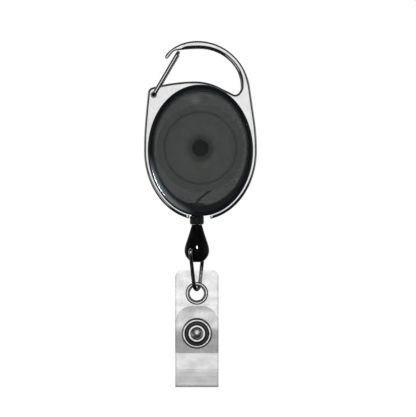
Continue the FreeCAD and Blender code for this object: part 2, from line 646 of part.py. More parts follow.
def snap():
    front = "-1 * ply_thick"
    rear = "ply_thick"
    seat = "tail_y - ply_thick / 2"
    back = "tail_y + ply_thick / 2"
    at_snap = ("hang_x", "0", "snap_z")
    return [
        turned("snap_cap", [
            ("0", f"{front} - 0.6"), ("0.7", f"{front} - 0.6"), ("1.0", f"{front} - 0.35"),
            ("1.55", f"{front} - 0.3"), ("1.85", f"{front} - 0.75"), ("2.3", f"{front} - 0.8"),
            ("2.6", f"{front} - 0.35"), ("3.3", f"{front} - 0.3"), ("3.7", f"{front} - 0.85"),
            ("4.15", f"{front} - 1.0"), ("snap_rim - 0.1", f"{front} - 0.7"),
            ("snap_rim", f"{front} - 0.3"), ("snap_rim - 0.25", front), ("snap_shank", front),
            ("snap_shank", f"{rear} + 0.25"), ("0", f"{rear} + 0.25"),
        ], *at_snap),
        turned("snap_socket", [
            ("snap_shank", rear), ("4.3", rear), ("4.4", f"{rear} + 0.4"), ("3.9", f"{rear} + 1.35"),
            ("3.4", f"{rear} + 1.6"), ("2.3", f"{rear} + 1.6"), ("2.05", f"{rear} + 1.35"),
            ("2.05", f"{rear} + 0.3"), ("snap_shank", f"{rear} + 0.3"),
        ], *at_snap),
        turned("socket_spring", [
            ("1.7", f"{rear} + 0.95"), ("1.78", f"{rear} + 0.82"), ("1.95", f"{rear} + 0.82"),
            ("2.03", f"{rear} + 0.95"), ("1.95", f"{rear} + 1.08"), ("1.78", f"{rear} + 1.08"),
        ], *at_snap),
        turned("snap_stud", [
            ("tail_hole", f"{rear} + 1.0"), ("tail_hole", seat), ("3.6", seat),
            ("3.6", f"{seat} - 0.15"), ("3.4", f"{seat} - 0.35"), ("1.3", f"{seat} - 0.35"),
            ("1.25", f"{seat} - 0.7"), ("1.5", f"{rear} + 1.05"), ("1.5", f"{rear} + 0.75"),
            ("1.1", f"{rear} + 0.5"), ("0", f"{rear} + 0.5"), ("0", f"{rear} + 1.0"),
        ], *at_snap),
        turned("stud_cap", [
            ("0", f"{rear} + 1.05"), ("tail_hole", f"{rear} + 1.05"), ("tail_hole", back),
            ("4.3", back), ("4.6", f"{back} + 0.25"), ("4.4", f"{back} + 0.65"),
            ("3.7", f"{back} + 0.9"), ("2.6", f"{back} + 0.8"), ("0", f"{back} + 0.75"),
        ], *at_snap),
    ]


def strap():
    return [
        ply("strap_front_ply", size("ply_end"), False),
        ply("strap_main_ply", size("fold_z"), True),
        fold(),
        tail(),
    ]


def export(parts):
    """Check every object of the document, then write one file per part."""
    failed = [thing.Name for thing in doc.Objects if {"Invalid", "Error"} & set(thing.State)]
    if failed:
        raise SystemExit(f"not made: {failed}")
    for part in parts:
        if part.Shape.isNull() or not part.Shape.isValid() or not part.Shape.Solids:
            raise SystemExit(f"bad shape: {part.Label}")
        limits = part.Shape.optimalBoundingBox(False)
        print(f"{part.Label:18s} {part.Shape.Volume:9.2f} mm3  "
              f"{limits.XLength:6.2f} x {limits.YLength:6.2f} x {limits.ZLength:6.2f}")
        part.Shape.exportStep(f"parts/{part.Label}.step")


parts = [carabiner_frame(), gate(), *housing(), mainspring(), *spool(), *cord(), drop(), link(),
         *strap(), *eyelet(), *snap()]
doc.recompute()
export(parts)
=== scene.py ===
import bisect
import json
import math

import bmesh
import bpy
from mathutils import Matrix, Vector
from mathutils.geometry import delaunay_2d_cdt


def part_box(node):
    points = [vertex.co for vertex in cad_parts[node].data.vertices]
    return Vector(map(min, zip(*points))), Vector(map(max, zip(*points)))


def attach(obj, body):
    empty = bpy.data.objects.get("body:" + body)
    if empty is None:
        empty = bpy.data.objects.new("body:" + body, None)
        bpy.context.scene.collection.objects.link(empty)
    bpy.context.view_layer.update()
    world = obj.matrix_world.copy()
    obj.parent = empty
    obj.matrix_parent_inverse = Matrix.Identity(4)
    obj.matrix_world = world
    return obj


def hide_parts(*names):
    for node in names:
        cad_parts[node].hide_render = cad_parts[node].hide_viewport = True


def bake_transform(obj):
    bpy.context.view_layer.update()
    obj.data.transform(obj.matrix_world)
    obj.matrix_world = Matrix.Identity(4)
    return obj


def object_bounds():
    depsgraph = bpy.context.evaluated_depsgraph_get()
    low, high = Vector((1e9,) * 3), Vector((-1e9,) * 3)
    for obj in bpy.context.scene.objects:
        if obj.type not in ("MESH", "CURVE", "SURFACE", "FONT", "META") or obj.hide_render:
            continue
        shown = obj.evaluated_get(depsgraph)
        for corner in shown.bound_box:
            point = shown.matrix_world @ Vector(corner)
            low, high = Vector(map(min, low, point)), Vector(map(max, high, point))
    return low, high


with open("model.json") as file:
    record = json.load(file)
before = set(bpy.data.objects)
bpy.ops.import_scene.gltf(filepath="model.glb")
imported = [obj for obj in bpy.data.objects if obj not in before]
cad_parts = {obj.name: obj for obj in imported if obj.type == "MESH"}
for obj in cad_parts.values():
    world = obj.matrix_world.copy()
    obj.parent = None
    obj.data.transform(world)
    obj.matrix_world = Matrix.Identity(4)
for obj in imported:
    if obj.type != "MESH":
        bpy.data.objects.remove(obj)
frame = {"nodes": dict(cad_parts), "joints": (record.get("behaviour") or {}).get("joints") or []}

# A retractable badge reel on a chrome carabiner, hanging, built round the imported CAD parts.
# Metres in the row frame: +Z up, front towards -Y, origin inside the top of the hook.

CAD_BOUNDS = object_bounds()
NODES = frame["nodes"]
MM = 0.001
TURN = 2 * math.pi


# ---- places read from the frame ----

def middle(node):
    low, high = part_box(node)
    return (low + high) / 2


def half(node):
    low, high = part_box(node)
    return (high - low) / 2


HANG_X = middle("cord_drop").x
SHELL_CENTRE = middle("front_shell")
SHELL_HALF = half("front_shell")
REEL = middle("spool_cover")
FRAME_HALF = half("carabiner_frame").y
PLY_THICK = 2 * half("strap_front_ply").y
STRAP_HALF = half("strap_front_ply").x
FOLD_LOW, FOLD_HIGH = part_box("strap_fold")
FOLD_OUTER = (FOLD_HIGH.y - FOLD_LOW.y) / 2
FOLD_Y = (FOLD_HIGH.y + FOLD_LOW.y) / 2
FOLD_Z = FOLD_LOW.z + FOLD_OUTER
FOLD_RADIUS = FOLD_OUTER - PLY_THICK / 2
FOLD_LEAN = math.radians(30)
TAIL_BEND = 5 * MM
TAIL_CORNER = 5.2 * MM


# ---- meshes ----

def new_object(name, mesh, material, body, slot, *stands_for):
    """A piece made here: it rides on body and stands for the CAD nodes."""
    piece = bpy.data.objects.new(name, mesh)
    bpy.context.scene.collection.objects.link(piece)
    mesh.materials.append(material)
    if body:
        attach(piece, body)
    if stands_for:
        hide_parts(*stands_for)
    return piece


def finish_mesh(bm, name, crease=40):
    """Closes a bmesh into a mesh with outward normals, smooth apart from edges over crease degrees."""
    bmesh.ops.remove_doubles(bm, verts=bm.verts, dist=1e-7)
    bmesh.ops.recalc_face_normals(bm, faces=bm.faces)
    for face in bm.faces:
        face.smooth = True
    for edge in bm.edges:
        edge.smooth = len(edge.link_faces) == 2 and edge.calc_face_angle(0) < math.radians(crease)
    mesh = bpy.data.meshes.new(name)
    bm.to_mesh(mesh)
    bm.free()
    return mesh


def soften(outline, reach, steps=4, closed=False):
    """The outline with each corner replaced by a short curve that starts reach before it."""
    count = len(outline)
    points = [] if closed else [outline[0]]
    for i in range(0 if closed else 1, count if closed else count - 1):
        before, here, after = outline[i - 1], outline[i], outline[(i + 1) % count]
        ends = []
        for other in (before, after):
            run = other - here
            ends.append(here + run * min(reach / run.length, 0.48))
        for step in range(steps + 1):
            t = step / steps
            points.append(ends[0] * (1 - t) ** 2 + here * 2 * t * (1 - t) + ends[1] * t * t)
    if not closed:
        points.append(outline[-1])
    return points


def lathe(name, outline, centre, along, reach=0.12, segments=96, steps=4):
    """A turned piece: outline is (radius, height) in mm about an axis along y or z.
    An outline that starts and ends on the axis is closed there; any other is a closed ring."""
    on_axis = outline[0][0] == 0 and outline[-1][0] == 0
    points = soften([Vector(p) * MM for p in outline], reach * MM, steps, closed=not on_axis)
    bm = bmesh.new()
    rings = []
    for radius, height in points:
        count = 1 if radius < 1e-8 else segments
        ring = []
        for i in range(count):
            across = radius * math.cos(TURN * i / segments)
            up = radius * math.sin(TURN * i / segments)
            place = (across, height, up) if along == "y" else (across, up, height)
            ring.append(bm.verts.new(centre + Vector(place)))
        rings.append(ring)
    pairs = list(zip(rings, rings[1:]))
    if not on_axis:
        pairs.append((rings[-1], rings[0]))
    for one, other in pairs:
        for i in range(segments):
            corners = [one[i % len(one)], one[(i + 1) % len(one)],
                       other[(i + 1) % len(other)], other[i % len(other)]]
            corners = list(dict.fromkeys(corners))
            if len(corners) > 2:
                bm.faces.new(corners)
    return finish_mesh(bm, name, crease=60)


def inside(point, loop):
    """Whether a flat point is inside a closed loop."""
    hit = False
    for one, other in zip(loop, loop[1:] + loop[:1]):
        if (one.y > point.y) != (other.y > point.y):
            if point.x < one.x + (point.y - one.y) * (other.x - one.x) / (other.y - one.y):
                hit = not hit
    return hit


def area(loop):
    return sum(a.x * b.y - b.x * a.y for a, b in zip(loop, loop[1:] + loop[:1])) / 2


def inward(loop, hole):
    """For each point of a loop, the mitred direction into the material."""
    side = 1 if (area(loop) > 0) != hole else -1
    count = len(loop)
    found = []
    for i, here in enumerate(loop):
        before = (here - loop[i - 1]).normalized()
        after = (loop[(i + 1) % count] - here).normalized()
        normals = [Vector((-d.y, d.x)) * side for d in (before, after)]
        found.append((normals[0] + normals[1]) / max(1 + normals[0].dot(normals[1]), 0.4))
    return found


GUARD = 0.03 * MM


def plate(loops, low, high, rounding, spacing=None, steps=6):
    """A bmesh plate between two levels, in the plane of its flat loops (the first is the outside).
    rounding(point, into) gives the width and depth of the rounded edge there, and a thin guard
    ring inside it keeps the shading of the flat face flat.
    spacing adds a grid of points inside, for a plate that bends."""
    bm = bmesh.new()
    tops = {low: [], high: []}
    shrunk = []
    for index, loop in enumerate(loops):
        into = inward(loop, index > 0)
        sizes = [rounding(point, way) for point, way in zip(loop, into)]
        rings = []
        for level, sense in ((low, 1), (high, -1)):
            side = [[(p + way * (width + GUARD), level)
                     for p, way, (width, _) in zip(loop, into, sizes)]]
            for step in range(steps + 1):
                turn = math.pi / 2 * step / steps
                side.append([
                    (p + way * (width * (1 - math.sin(turn))),
                     level + sense * depth * (1 - math.cos(turn)))
                    for p, way, (width, depth) in zip(loop, into, sizes)
                ])
            rings += side if sense > 0 else side[::-1]
        made = [[bm.verts.new((p.x, level, p.y)) for p, level in ring] for ring in rings]
        for one, other in zip(made, made[1:]):
            for i in range(len(loop)):
                j = (i + 1) % len(loop)
                bm.faces.new((one[i], one[j], other[j], other[i]))
        tops[low].append(made[0])
        tops[high].append(made[-1])
        shrunk.append([p for p, _ in rings[0]])
    extra = grid_inside(shrunk, spacing) if spacing else []
    flat = [p / MM for loop in shrunk for p in loop] + [p / MM for p in extra]
    edges = []
    start = 0
    for loop in shrunk:
        edges += [(start + i, start + (i + 1) % len(loop)) for i in range(len(loop))]
        start += len(loop)
    points, _, faces, sources = delaunay_2d_cdt(flat, edges, [], 0, 1e-7)[:4]
    scaled = [[p / MM for p in loop] for loop in shrunk]
    for level, rims in tops.items():
        verts = [v for rim in rims for v in rim]
        verts += [bm.verts.new((p.x, level, p.y)) for p in extra]
        verts = [verts[source[0]] if source else bm.verts.new((p.x * MM, level, p.y * MM))
                 for p, source in zip(points, sources)]
        for face in faces:
            centre = sum((points[i] for i in face), Vector((0, 0))) / len(face)
            if inside(centre, scaled[0]) and not any(inside(centre, hole) for hole in scaled[1:]):
                bm.faces.new([verts[i] for i in face])
    if spacing:
        bmesh.ops.join_triangles(bm, faces=[f for f in bm.faces if len(f.verts) == 3],
                                 angle_face_threshold=0.1, angle_shape_threshold=1.2)
    return bm


def grid_inside(loops, spacing):
    """Points of a square grid that lie well inside the first loop and outside the others."""
    xs = [p.x for p in loops[0]]
    ys = [p.y for p in loops[0]]
    found = []
    columns = max(1, round((max(xs) - min(xs)) / spacing))
    rows = max(1, round((max(ys) - min(ys)) / spacing))
    for i in range(1, columns):
        for j in range(1, rows):
            p = Vector((min(xs) + (max(xs) - min(xs)) * i / columns,
                        min(ys) + (max(ys) - min(ys)) * j / rows))
            clear = min((p - q).length for loop in loops for q in loop) > 0.55 * spacing
            if clear and inside(p, loops[0]) and not any(inside(p, hole) for hole in loops[1:]):
                found.append(p)
    return found


def even(loop, spacing):
    """A closed loop with its long runs divided evenly, its own points kept."""
    points = []
    for one, other in zip(loop, loop[1:] + loop[:1]):
        parts = max(1, round((other - one).length / spacing))
        points += [one.lerp(other, i / parts) for i in range(parts)]
    return points


def circle(x, z, radius, count=64):
    return [Vector((x + radius * math.cos(TURN * i / count), z + radius * math.sin(TURN * i / count)))
            for i in range(count)]


def rounded_box(low, high, radii):
    """A closed loop round a rectangle: radii at lower left, lower right, upper right, upper left."""
    corners = [Vector((low.x, low.y)), Vector((high.x, low.y)), Vector((high.x, high.y)),
               Vector((low.x, high.y))]
    points = []
    for i, (corner, radius) in enumerate(zip(corners, radii)):
        if not radius:
            points.append(corner)
            continue
        sign = Vector((1 if corner.x == low.x else -1, 1 if corner.y == low.y else -1))
        centre = corner + sign * radius
        start = math.pi * (1 + i / 2)
        for step in range(9):
            turn = start + math.pi / 2 * step / 8
            points.append(centre + Vector((math.cos(turn), math.sin(turn))) * radius)
    return points


def tube(name, line, radius, sides=24, ripple=None):
    """A tube along points; ripple(i, turn) scales its radius."""
    bm = bmesh.new()
    rings = []
    across = Vector((0, 1, 0))
    for i, point in enumerate(line):
        ahead = (line[min(i + 1, len(line) - 1)] - line[max(i - 1, 0)]).normalized()
        across = (across - ahead * across.dot(ahead)).normalized()
        up = ahead.cross(across)
        ring = []
        for side in range(sides):
            turn = TURN * side / sides
            reach = radius * (ripple(i, turn) if ripple else 1)
            ring.append(bm.verts.new(point + (across * math.cos(turn) + up * math.sin(turn)) * reach))
        rings.append(ring)
    for one, other in zip(rings, rings[1:]):
        for side in range(sides):
            nxt = (side + 1) % sides
            bm.faces.new((one[side], one[nxt], other[nxt], other[side]))
    bm.faces.new(rings[0][::-1])
    bm.faces.new(rings[-1])
    return finish_mesh(bm, name, crease=60)


# ---- materials ----

class Tree:
    """A short way to write a node tree of a material or the world."""

    def __init__(self, tree):
        self.tree = tree

    def node(self, kind, inputs=None, output=0, **settings):
        made = self.tree.nodes.new(kind)
        for name, value in settings.items():
            setattr(made, name, value)
        for key, value in (inputs or {}).items():
            if isinstance(value, bpy.types.NodeSocket):
                self.tree.links.new(value, made.inputs[key])
            else:
                made.inputs[key].default_value = value
        return made.outputs[output]

    def math(self, operation, one, other=0.0):
        return self.node("ShaderNodeMath", {0: one, 1: other}, operation=operation)

    def smooth(self, value, start, stop, low=0.0, high=1.0):
        """A smoothstep of value from start to stop, scaled to low..high."""
        return self.node("ShaderNodeMapRange", {0: value, 1: start, 2: stop, 3: low, 4: high},
                         interpolation_type="SMOOTHSTEP")

    def mix(self, factor, one, other):
        return self.node("ShaderNodeMix", {0: factor, 6: one, 7: other}, output=2, data_type="RGBA")

    def vector(self, operation, one, other=(0, 0, 0), output=0):
        return self.node("ShaderNodeVectorMath", {0: one, 1: other}, output, operation=operation)

    def noise(self, where, scale, detail=3.0, roughness=0.55, stretch=(1, 1, 1)):
        """Noise in the range 0..1, scale in features per mm along each axis."""
        spread = self.node("ShaderNodeMapping", {0: where, 3: tuple(s * scale for s in stretch)})
        return self.node("ShaderNodeTexNoise",
                         {"Vector": spread, "Scale": 1.0, "Detail": detail, "Roughness": roughness})


def grey(level, tint=(1, 1, 1)):
    return (level * tint[0], level * tint[1], level * tint[2], 1)


def material(name, **sockets):
    """A Principled material, its even numbers set on the shader: (Tree, shader, object mm, result)."""
    made = bpy.data.materials.new(name)
    made.use_nodes = True
    tree = Tree(made.node_tree)
    shader = made.node_tree.nodes["Principled BSDF"]
    for key, value in sockets.items():
        shader.inputs[key.replace("_", " ")].default_value = value
    place = tree.node("ShaderNodeTexCoord", output=3)
    where = tree.vector("SCALE", place)
    where.node.inputs[3].default_value = 1 / MM
    return tree, shader, where, made


def bump(tree, shader, height, strength, distance):
    normal = tree.node("ShaderNodeBump",
                       {"Height": height, "Strength": strength, "Distance": distance * MM})
    tree.tree.links.new(normal, shader.inputs["Normal"])


def link(tree, value, shader, socket):
    tree.tree.links.new(value, shader.inputs[socket])


def metal(name, light, dark, rough, scratch=0.25, shaded_pin=None, highlight_from=None):
    """Plated metal: cloudy polish, fine scratches that run in two directions, small pits, painted
    shade round a pin whose axis along y is at the given point, and a painted highlight above the given
    height."""
    tree, shader, where, made = material(name, Metallic=1.0)
    cloud = tree.noise(where, 0.35)
    hairs = tree.math("MAXIMUM", tree.noise(where, 0.5, 2, 0.6, (14, 1, 1.2)),
                      tree.noise(where, 0.5, 2, 0.6, (1.5, 1, 12)))
    pits = tree.smooth(tree.noise(where, 4.0, 1), 0.68, 0.78)
    colour = tree.mix(tree.smooth(cloud, 0.3, 0.7), dark, light)
    colour = tree.mix(tree.math("MULTIPLY", pits, 0.3), colour, grey(0.3))
    # Painted shade: the metal darkens round the pin, for the shadowed hole the gate wire enters.
    if shaded_pin:
        offset = tree.vector("SUBTRACT", where, (shaded_pin.x / MM, 0, shaded_pin.z / MM))
        radius = tree.vector("LENGTH", tree.vector("MULTIPLY", offset, (1, 0, 1)), output=1)
        colour = tree.mix(tree.smooth(radius, 0.5, 0.8, 1, 0), colour, grey(0.03))
    # Painted highlight: the colour is bright above that height, on the top bend of the wire link.
    if highlight_from:
        height = tree.node("ShaderNodeSeparateXYZ", {0: where}, output=2)
        colour = tree.mix(tree.smooth(height, highlight_from / MM - 1.5, highlight_from / MM), colour, grey(0.85))
    link(tree, colour, shader, "Base Color")
    worn = tree.smooth(hairs, 0.6, 0.85, 0, 0.03)
    link(tree, tree.math("ADD", tree.smooth(cloud, 0.3, 0.7, rough, rough + 0.03), worn),
         shader, "Roughness")
    bump(tree, shader, tree.math("SUBTRACT", hairs, pits), scratch, 0.004)
    return made


def turned_metal(name, light, dark, rough, centre, grooves, ring_shade):
    """Nickel plate spun on a lathe: fine rings about centre over the polish, darker patches at random,
    and painted shade in the grooves and round the rim, each between two radii in mm."""
    tree, shader, where, made = material(name, Metallic=1.0)
    offset = tree.vector("SUBTRACT", where, tuple(c / MM for c in centre))
    flat = tree.vector("MULTIPLY", offset, (1, 0, 1))
    radius = tree.vector("LENGTH", flat, output=1)
    rings = tree.math("SINE", tree.math("MULTIPLY", radius, 70.0))
    cloud = tree.noise(where, 0.9)
    colour = tree.mix(tree.smooth(cloud, 0.35, 0.7), light, dark)
    # Painted shade: each band between two radii is darkened to the given level.
    for start, stop in grooves:
        deep = tree.math("MULTIPLY", tree.smooth(radius, start - 0.12, start + 0.08),
                         tree.smooth(radius, stop - 0.08, stop + 0.12, 1, 0))
        colour = tree.mix(deep, colour, grey(ring_shade))
    link(tree, colour, shader, "Base Color")
    link(tree, tree.smooth(cloud, 0.3, 0.75, rough, rough + 0.12), shader, "Roughness")
    bump(tree, shader, tree.math("ADD", rings, tree.math("MULTIPLY", cloud, 3.0)), 0.15, 0.004)
    return made


def smoke_plastic(name, clear, colour, seat_ring):
    """Smoke-tinted moulding: clear over the cavity, deep at the thick walls, faint flow marks.
    The rim band is drawn wider at the bottom as painted shade, with a painted crescent highlight
    at the lower left and a painted reflection patch near the top.
    """
    tree, shader, where, made = material(name, Roughness=0.13, Specular_IOR_Level=0.25)
    centre = SHELL_CENTRE / MM
    reach = SHELL_HALF / MM

    def oval(inset, lift):
        offset = tree.vector("SUBTRACT", where, (centre.x, 0, centre.z + lift))
        scale = (1 / (reach.x - inset), 0, 1 / (reach.z - inset - lift))
        return tree.vector("LENGTH", tree.vector("MULTIPLY", offset, scale), output=1)

    # The dark band round the rim stands for the thick wall seen edge-on; it is set higher so that it is
    # wider at the bottom, as painted shade.
    wall = tree.smooth(oval(1.5, 0.75), 0.965, 1.015)
    from_axis = tree.vector("SUBTRACT", where, (REEL.x / MM, 0, REEL.z / MM))
    radius = tree.vector("LENGTH", tree.vector("MULTIPLY", from_axis, (1, 0, 1)), output=1)
    line = tree.smooth(tree.math("ABSOLUTE", tree.math("SUBTRACT", radius, 10.9)), 0.1, 0.55, 1, 0)
    flow = tree.noise(where, 0.16, 4, 0.6, (1, 1, 0.6))
    grain = tree.noise(where, 2.2, 2)
    haze = tree.math("MULTIPLY_ADD", flow, 0.10)
    haze.node.inputs[2].default_value = clear - 0.05
    halo = tree.math("MULTIPLY", tree.smooth(radius, 2.3, 2.6), tree.smooth(radius, 2.6, 4.8, 0.07, 0))
    boss = tree.math("SUBTRACT", halo, tree.smooth(radius, 2.2, 2.5, 0.14, 0))
    lined = tree.math("ADD", tree.math("ADD", haze, boss), tree.math("MULTIPLY", line, seat_ring))
    alpha = tree.math("ADD", lined, tree.math("MULTIPLY", wall, 0.97 - clear))
    link(tree, alpha, shader, "Alpha")
    tint = tree.mix(tree.smooth(flow, 0.35, 0.65), colour, grey(0.045, (0.86, 1.0, 0.98)))
    # Painted reflection: a pale soft patch near the top of the face.
    from_patch = tree.vector("SUBTRACT", where, (REEL.x / MM - 1.5, 0, REEL.z / MM + 14.5))
    distance = tree.vector("LENGTH", tree.vector("MULTIPLY", from_patch, (1, 0, 1.2)), output=1)
    reflection_patch = tree.smooth(tree.math("ADD", distance, tree.math("MULTIPLY", flow, 1.5)), 1.2, 3.2, 0.5, 0)
    tint = tree.mix(reflection_patch, tint, grey(0.14))
    # Painted highlight: a pale bluish crescent inside the rim at the lower left.
    offset = tree.vector("SUBTRACT", where, (centre.x, 0, centre.z))
    lean = tree.vector("DOT_PRODUCT", offset, (-0.80, 0, -0.60), output=1)
    rim = oval(0, 0)
    band = tree.math("MULTIPLY", tree.smooth(rim, 0.86, 0.945), tree.smooth(rim, 0.95, 0.985, 1, 0))
    crescent_highlight = tree.math("MULTIPLY", band, tree.smooth(lean, 12.5, 16.6))
    deep = tree.mix(wall, tint, grey(0.008, (0.85, 1.0, 1.25)))
    link(tree, tree.mix(crescent_highlight, deep, grey(0.17, (0.88, 1.0, 1.06))), shader, "Base Color")
    bump(tree, shader, tree.math("ADD", grain, tree.math("MULTIPLY", flow, 4.0)), 0.04, 0.01)
    return made


def moulded(name, colour, light, rough, grain=0.10, **sockets):
    """Opaque injection moulding: slight mottling, scuffs and a fine skin texture."""
    tree, shader, where, made = material(name, **sockets)
    mottle = tree.noise(where, 0.5, 4)
    skin = tree.noise(where, 6.0, 2)
    scuff = tree.smooth(tree.noise(where, 0.8, 3, 0.7, (6, 1, 1)), 0.6, 0.75)
    base = tree.mix(tree.smooth(mottle, 0.3, 0.7), colour, light)
    link(tree, base, shader, "Base Color")
    link(tree, tree.math("ADD", tree.smooth(mottle, 0.3, 0.7, rough, rough * 1.4),
                         tree.math("MULTIPLY", scuff, rough / 2)), shader, "Roughness")
    bump(tree, shader, skin, grain, 0.01)
    return made


def braid(name, centre_x):
    """Nylon braid: two sets of diagonal strands, fuzz between them, and painted shade that is darker
    between the strands than on their crowns.
    """
    tree, shader, where, made = material(name, Sheen_Weight=0.3, Sheen_Roughness=0.5)
    split = tree.node("ShaderNodeSeparateXYZ", {0: where})
    x = tree.math("SUBTRACT", split, centre_x / MM)
    y, z = split.node.outputs[1], split.node.outputs[2]
    turn = tree.math("MULTIPLY", tree.math("ARCTAN2", y, x), 4.0)
    climb = tree.math("MULTIPLY", z, 9.0)
    waves = [tree.math("SINE", tree.math(way, turn, climb)) for way in ("ADD", "SUBTRACT")]
    strands = tree.math("MAXIMUM", *waves)
    fuzz = tree.noise(where, 12.0, 3)
    height = tree.math("ADD", strands, tree.math("MULTIPLY", fuzz, 0.6))
    # Painted shade: the colour is lighter on the strands' crowns and darker between them.
    colour = tree.mix(tree.smooth(height, -0.2, 1.4), grey(0.004), grey(0.045))
    link(tree, colour, shader, "Base Color")
    link(tree, tree.smooth(fuzz, 0.3, 0.7, 0.55, 0.8), shader, "Roughness")
    bump(tree, shader, height, 0.6, 0.04)
    return made


def vinyl(name, clear, haze, patches, cloudy=0.3, rough=0.14):
    """Clear vinyl: hazy, deeper at glancing angles, with soft flow marks, and painted shade along
    the strap's side edges and at glancing angles.
    patches are (low z, its softness, high z, its softness, alpha, level, bow) bands in mm of
    painted shade, where the strap curves or lies in shadow; bow makes the upper edge of a band wavy."""
    tree, shader, where, made = material(name, Specular_IOR_Level=0.6, Coat_Weight=0.4,
                                         Coat_Roughness=0.15)
    split = tree.node("ShaderNodeSeparateXYZ", {0: where})
    z = split.node.outputs[2]
    across = tree.math("SUBTRACT", split.node.outputs[0], HANG_X / MM)
    bowed = tree.math("ADD", z, tree.math("MULTIPLY", tree.math("MULTIPLY", across, across), 0.02))
    ripple = tree.noise(where, 0.22, 3, 0.5, (1, 1, 1.6))
    speck = tree.noise(where, 3.0, 2)
    facing = tree.node("ShaderNodeLayerWeight", {"Blend": 0.35}, output=1)
    edge = tree.math("MULTIPLY", tree.math("POWER", facing, 2.5), 0.5)
    alpha = tree.smooth(ripple, 0.3, 0.7, clear * (1 - cloudy), clear * (1 + cloudy))
    alpha = tree.math("ADD", alpha, edge)
    colour = tree.mix(tree.smooth(speck, 0.35, 0.7), grey(haze, (1.0, 1.0, 0.99)),
                      grey(haze * 0.92, (1.0, 1.0, 1.01)))
    # Painted shade: darker colour and more alpha along the strap's side edges, and darker colour at
    # glancing angles.
    border = tree.smooth(tree.math("ABSOLUTE", across), STRAP_HALF / MM - 0.6, STRAP_HALF / MM)
    alpha = tree.math("ADD", alpha, tree.math("MULTIPLY", border, 0.09))
    dim = tree.math("MAXIMUM", tree.math("MULTIPLY", border, 0.8), tree.math("MULTIPLY", edge, 2.0))
    colour = tree.mix(dim, colour, grey(0.14))
    wavy = tree.math("ADD", bowed, tree.math("MULTIPLY", ripple, 0.8))
    # Each band is painted shade: more alpha and a darker colour between its two heights.
    for low, low_soft, high, high_soft, more, level, bow in patches:
        band = tree.math("MULTIPLY", tree.smooth(z, low, low + low_soft),
                         tree.smooth(wavy if bow else z, high - high_soft, high, 1, 0))
        alpha = tree.math("ADD", alpha, tree.math("MULTIPLY", band, more))
        colour = tree.mix(band, colour, grey(level))
    link(tree, alpha, shader, "Alpha")
    link(tree, colour, shader, "Base Color")
    link(tree, tree.smooth(ripple, 0.3, 0.7, rough, rough + 0.16), shader, "Roughness")
    bump(tree, shader, tree.math("ADD", ripple, tree.math("MULTIPLY", speck, 0.05)), 0.25, 0.25)
    return made


def joint(name):
    return next(j for j in frame["joints"] if j["name"] == name)


GATE_PIVOT = Vector(joint("gate_hinge")["pos_m"])
LINK_PIVOT = Vector(joint("link_swing")["pos_m"])
# Above this height the wire link's top bend is painted bright, as a painted highlight.
LINK_HIGHLIGHT_FROM = LINK_PIVOT.z - 0.6 * MM
EYELET_RIM = half("eyelet").x / MM
SNAP_RIM = half("snap_cap").x / MM
SMOKE_TINT = (0.80, 1.0, 0.86)

# Bands of painted shade on the vinyl, for vinyl(): where the fold curves back, along its lowest
# edge, on the tail below the snap and below the eyelet.
TAIL_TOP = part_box("strap_tail")[1].z / MM
PLY_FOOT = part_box("strap_front_ply")[0].z / MM
FOLD_TOP = FOLD_Z / MM + 1.65
# Painted shade where the strap curves back round the fold.
FOLD_BAND = (FOLD_TOP - 4.0, 0.3, FOLD_TOP, 0.12, 0.065, 0.32, False)
# Painted shade along the fold's lowest edge.
FOLD_FOOT_SHADE = (FOLD_TOP - 9, 0.3, FOLD_LOW.z / MM + 0.65, 0.3, 0.40, 0.16, False)
# Painted shadow of the snap on the tail, round and below it.
SNAP_SHADOW = (PLY_FOOT - 0.3, 0.3, TAIL_TOP - 4.8, 3.2, 0.28, 0.16, True)
# Painted shade at the tail's top end, below the eyelet.
EYELET_SHADE = (TAIL_TOP - 2.4, 1.6, TAIL_TOP + 1.5, 0.4, 0.13, 0.24, True)

# The chrome frame and the gate wire get painted shade round the gate's pivot hole.
CHROME = metal("chrome", grey(0.80), grey(0.70), 0.09, 0.03, GATE_PIVOT)
GATE_STEEL = metal("gate_steel", grey(0.86), grey(0.74), 0.08, 0.05, GATE_PIVOT)
LINK_STEEL = metal("link_steel", grey(0.20), grey(0.13), 0.10, 0.05, highlight_from=LINK_HIGHLIGHT_FROM)
FRONT_SMOKE = smoke_plastic("front_smoke", 0.48, grey(0.028, SMOKE_TINT), 0.17)
REAR_SMOKE = smoke_plastic("rear_smoke", 0.60, grey(0.034, SMOKE_TINT), 0.0)
BLACK = moulded("black_plastic", grey(0.002), grey(0.004), 0.07, 0.05, Specular_IOR_Level=0.12)
BUSH_BLACK = moulded("bush_plastic", grey(0.008), grey(0.014), 0.2, 0.1, Specular_IOR_Level=0.3)
ARBOR_BLACK = moulded("arbor_plastic", grey(0.002), grey(0.003), 0.45, Specular_IOR_Level=0.1)
SPOOL_GREY = moulded("spool_plastic", grey(0.62, (0.95, 1.0, 0.94)),
                     grey(0.72, (0.97, 1.0, 0.95)), 0.4)
SPRING = metal("spring_steel", grey(0.42, (1, 1, 1.06)), grey(0.30), 0.22)
NYLON = braid("nylon_braid", HANG_X)
VINYL = vinyl("vinyl", 0.085, 0.48, [FOLD_BAND, FOLD_FOOT_SHADE], 0.7)
TAIL_VINYL = vinyl("vinyl_tail", 0.17, 0.40, [SNAP_SHADOW, EYELET_SHADE, FOLD_BAND], rough=0.40)
FOLD_VINYL = vinyl("vinyl_fold", 0.17, 0.40, [FOLD_BAND, FOLD_FOOT_SHADE])
# The last two arguments give the bands of painted shade, in the grooves and round the rim, and their
# level.
EYELET_NICKEL = turned_metal("eyelet_nickel", grey(0.78), grey(0.60), 0.10, middle("eyelet"),
                             [(2.5, 2.66), (EYELET_RIM - 0.18, 9)], 0.10)
SNAP_NICKEL = turned_metal("snap_nickel", grey(0.82), grey(0.64), 0.10, middle("snap_cap"),
                           [(2.75, 3.6), (SNAP_RIM - 0.2, 9)], 0.05)


# ---- carabiner frame ----

